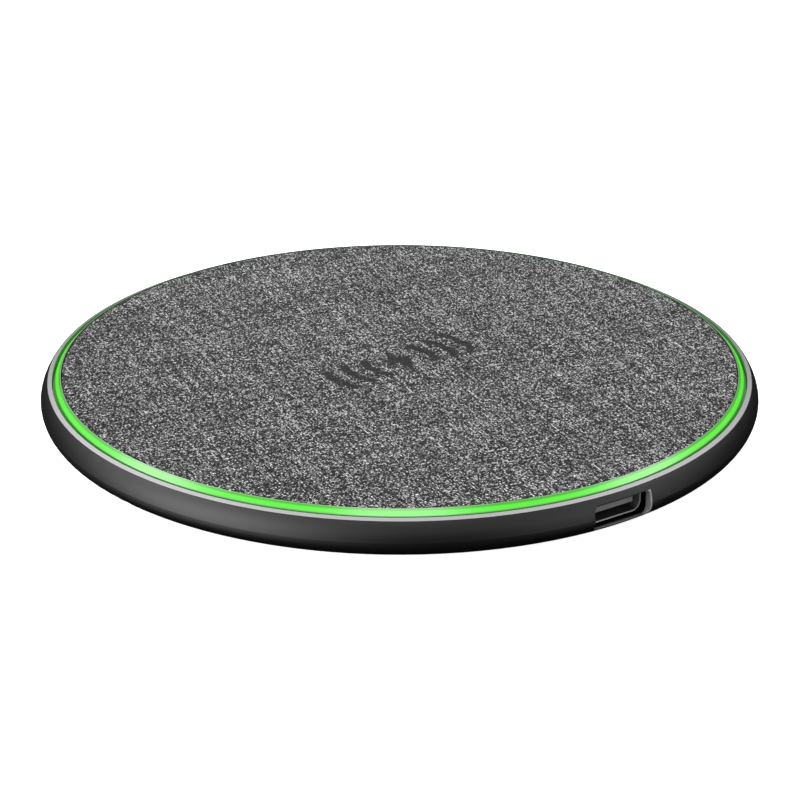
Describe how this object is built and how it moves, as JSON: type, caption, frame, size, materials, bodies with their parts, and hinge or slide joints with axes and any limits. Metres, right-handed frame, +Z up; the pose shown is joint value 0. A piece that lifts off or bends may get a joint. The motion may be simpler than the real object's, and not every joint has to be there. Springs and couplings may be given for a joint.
{
  "type": "wireless charging pad",
  "caption": "Slim round wireless charging pad with a woven cloth top, a lit green ring round its rim, a bright trim ring and a USB-C inlet in its side.",
  "frame": {"origin": "middle of the face that it rests on", "axes": "+Z up out of the charging surface; -Y out of the USB-C inlet"},
  "size_m": [0.1006, 0.1004, 0.0078],
  "materials": {
    "black_shell": "satin black anodised",
    "bright_trim": "bright cut edge",
    "light_guide": "translucent, lit green from below",
    "black_plastic": "moulded",
    "glue_film": "clear adhesive film",
    "heather_cloth": "woven heather grey cloth with a dark printed mark",
    "soft_foot": "matt silicone",
    "white_plastic": "moulded",
    "ferrite": "sintered, dark grey",
    "copper_wire": "enamelled copper winding",
    "amber_film": "thin amber insulating film",
    "sensor_glass": "dipped resin bead",
    "green_board": "solder mask",
    "bright_steel": "drawn steel",
    "connector_plastic": "moulded, mid grey",
    "gold_contacts": "gold plated",
    "white_board": "white solder mask",
    "lamp_lens": "clear lens over green die",
    "screw_steel": "zinc black",
    "chip_plastic": "moulded epoxy",
    "tan_ceramic": "sintered, matt",
    "inductor_body": "pressed powder"
  },
  "bodies": {
    "root": {"housing_shell": "black_shell", "trim_ring": "bright_trim", "light_guide_ring": "light_guide", "top_cover": "black_plastic", "fabric_adhesive": "glue_film", "fabric_top": "heather_cloth", "antislip_pad": "soft_foot", "pad_adhesive": "glue_film", "coil_carrier": "white_plastic", "ferrite_disc": "ferrite", "charging_coil": "copper_wire", "coil_film": "amber_film", "coil_leads": "copper_wire", "thermistor": "sensor_glass", "main_pcb": "green_board", "usb_c_shell": "bright_steel", "usb_c_tongue": "connector_plastic", "usb_c_contacts": "gold_contacts", "led_board": "white_board", "leds": "lamp_lens", "led_ribbon": "amber_film", "cover_screws": "screw_steel", "carrier_screws": "screw_steel", "board_screws": "screw_steel", "controller_ic": "chip_plastic", "bridge_mosfets": "chip_plastic", "resonant_capacitors": "tan_ceramic", "power_inductor": "inductor_body", "bypass_capacitors": "tan_ceramic", "chip_resistors": "chip_plastic"}
  },
  "joints": []
}
